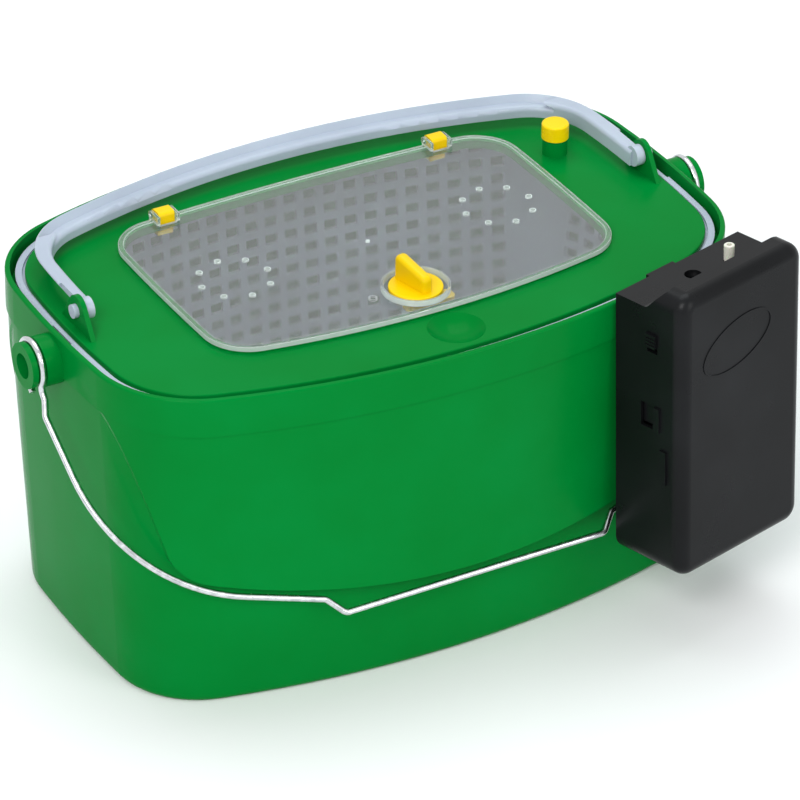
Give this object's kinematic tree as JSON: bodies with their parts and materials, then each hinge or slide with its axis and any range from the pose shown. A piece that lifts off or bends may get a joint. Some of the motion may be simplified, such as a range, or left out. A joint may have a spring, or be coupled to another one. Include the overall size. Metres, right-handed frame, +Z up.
{
  "type": "bait bucket",
  "caption": "Lidded oblong bait bucket with perforated lift-out liner, clear hinged hatch, turn latch, lid handle, wire bail and clip-on battery air pump",
  "frame": {"origin": "on the floor under the middle of the bucket's base", "axes": "+X along the bucket towards the port cap, +Y across it away from the side that carries the air pump, +Z up"},
  "size_m": [0.37, 0.265, 0.195],
  "materials": {
    "green_plastic": "smooth injection-moulded polypropylene, satin gloss",
    "pale_plastic": "smooth translucent pale blue-grey moulded plastic",
    "yellow_plastic": "smooth moulded plastic, satin",
    "clear_plastic": "clear moulded styrene, polished, slightly hazy",
    "black_plastic": "fine-textured black ABS, satin",
    "white_plastic": "translucent off-white moulded nylon",
    "plated_wire": "bright zinc-plated drawn wire",
    "steel": "plain stamped and turned steel",
    "rubber_sheet": "black rubber sheet",
    "cell_jacket": "plain printed film on a steel can"
  },
  "bodies": {
    "bucket": {"outer_bucket": "green_plastic"},
    "bail": {"bail_wire": "plated_wire"},
    "liner": {"inner_liner": "pale_plastic"},
    "lid_body": {"lid": "green_plastic", "hinge_clips": "yellow_plastic"},
    "handle": {"lid_handle": "pale_plastic"},
    "hatch_body": {"hatch": "clear_plastic"},
    "latch": {"latch_knob": "yellow_plastic", "latch_tongue": "yellow_plastic", "latch_screw": "steel"},
    "cap": {"port_cap": "yellow_plastic"},
    "pump": {"pump_case_base": "black_plastic", "batteries": "cell_jacket", "contact_springs": "steel", "low_contact": "steel", "top_contacts": "steel", "pump_motor": "steel", "pump_head": "white_plastic", "pump_diaphragm": "rubber_sheet", "valve_cap": "white_plastic", "pump_screws": "steel", "inner_tube": "clear_plastic", "air_nipple": "white_plastic", "cup_screw": "steel", "switch_body": "black_plastic"},
    "pump_cover": {"pump_case_cover": "black_plastic"},
    "rotor": {"pump_eccentric": "white_plastic"},
    "switch": {"power_switch": "black_plastic"}
  },
  "joints": [
    {"name": "bail_swing", "type": "hinge", "parent": "bucket", "child": "bail", "pos_m": [0, 0, 0.1604], "axis": [-1, 0, 0], "range_deg": [-0.8, 2]},
    {"name": "liner_lift", "type": "slide", "parent": "bucket", "child": "liner", "axis": [0, 0, 1], "range_m": [0, 0.18]},
    {"name": "lid_lift", "type": "slide", "parent": "liner", "child": "lid_body", "axis": [0, 0, 1], "range_m": [0, 0.05]},
    {"name": "handle_swing", "type": "hinge", "parent": "lid_body", "child": "handle", "pos_m": [0, 0, 0.1825], "axis": [1, 0, 0], "range_deg": [0, 180]},
    {"name": "hatch_swing", "type": "hinge", "parent": "lid_body", "child": "hatch_body", "pos_m": [0, 0.0685, 0.1784], "axis": [-1, 0, 0], "range_deg": [0, 100]},
    {"name": "latch_turn", "type": "hinge", "parent": "hatch_body", "child": "latch", "pos_m": [-0.002, -0.05, 0.1769], "axis": [0, 0, -1], "range_deg": [0, 90]},
    {"name": "cap_pull", "type": "slide", "parent": "lid_body", "child": "cap", "axis": [0, 0, 1], "range_m": [0, 0.025]},
    {"name": "pump_lift", "type": "slide", "parent": "bucket", "child": "pump", "axis": [0, 0, 1], "range_m": [0, 0.18]},
    {"name": "cover_slide", "type": "slide", "parent": "pump", "child": "pump_cover", "axis": [0.249, -0.9675, 0.044], "range_m": [0, 0.06]},
    {"name": "rotor_spin", "type": "hinge", "parent": "pump", "child": "rotor", "pos_m": [0.09962, -0.11902, 0.15015], "axis": [-0.011, 0.0426, 0.999], "continuous": true},
    {"name": "switch_slide", "type": "slide", "parent": "pump", "child": "switch", "axis": [0.011, -0.0426, -0.999], "range_m": [0, 0.003]}
  ]
}
